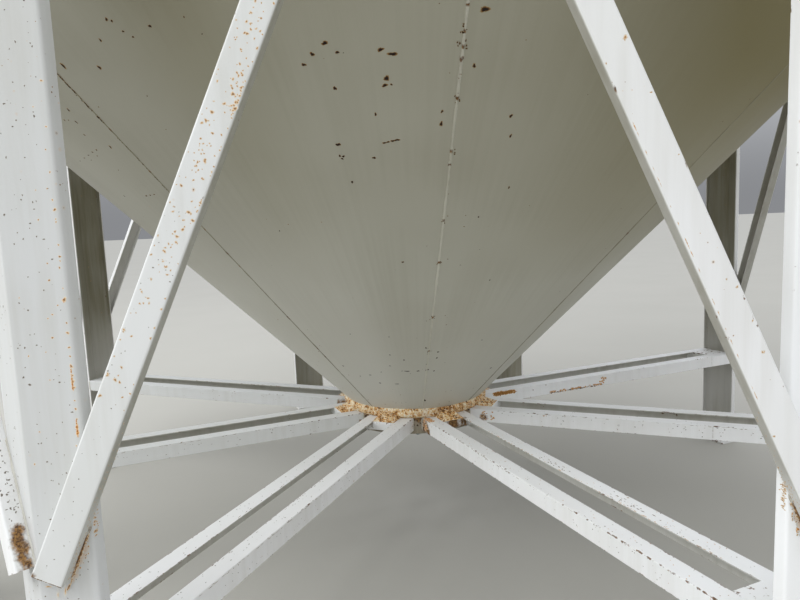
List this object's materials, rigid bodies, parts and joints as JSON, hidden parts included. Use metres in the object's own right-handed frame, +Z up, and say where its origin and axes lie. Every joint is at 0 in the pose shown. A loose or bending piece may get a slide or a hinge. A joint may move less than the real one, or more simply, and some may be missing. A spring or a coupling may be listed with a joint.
{
  "type": "hopper-bottom grain silo",
  "caption": "Round steel grain silo with a conical roof and a steep cone below, on legs tied by sloping channel braces and by twin-angle spokes to the outlet collar.",
  "frame": {"origin": "on the ground, on the silo's axis under the outlet", "axes": "+Z up along the silo's axis; -Y towards the picture's viewer, where the front bay faces; +X to the viewer's right"},
  "size_m": [4.66, 4.66, 7.3829],
  "materials": {
    "white_paint": "weathered white paint, chipped, with rust freckles",
    "hopper_paint": "dull white paint on the cone, dusty, with small rust spots",
    "rusted_paint": "white paint broken by orange rust"
  },
  "bodies": {
    "root": {"leg_1": "white_paint", "spoke_1": "white_paint", "brace_1_left": "white_paint", "brace_1_right": "white_paint", "leg_2": "white_paint", "spoke_2": "white_paint", "brace_2_left": "white_paint", "brace_2_right": "white_paint", "leg_3": "white_paint", "spoke_3": "white_paint", "brace_3_left": "white_paint", "brace_3_right": "white_paint", "leg_4": "white_paint", "spoke_4": "white_paint", "brace_4_left": "white_paint", "brace_4_right": "white_paint", "leg_5": "white_paint", "spoke_5": "white_paint", "brace_5_left": "white_paint", "brace_5_right": "white_paint", "leg_6": "white_paint", "spoke_6": "white_paint", "brace_6_left": "white_paint", "brace_6_right": "white_paint", "leg_7": "white_paint", "spoke_7": "white_paint", "brace_7_left": "white_paint", "brace_7_right": "white_paint", "leg_8": "white_paint", "spoke_8": "white_paint", "brace_8_left": "white_paint", "brace_8_right": "white_paint", "collar": "rusted_paint", "outlet_gate": "rusted_paint", "cone_plate_1": "hopper_paint", "cone_plate_2": "hopper_paint", "cone_plate_3": "hopper_paint", "cone_plate_4": "hopper_paint", "cone_plate_5": "hopper_paint", "cone_plate_6": "hopper_paint", "cone_plate_7": "hopper_paint", "cone_plate_8": "hopper_paint", "cone_plate_9": "hopper_paint", "wall_1": "white_paint", "wall_2": "white_paint", "wall_3": "white_paint", "wall_4": "white_paint", "ring_beam": "white_paint", "roof": "white_paint", "roof_neck": "white_paint", "lid": "white_paint"}
  },
  "joints": []
}
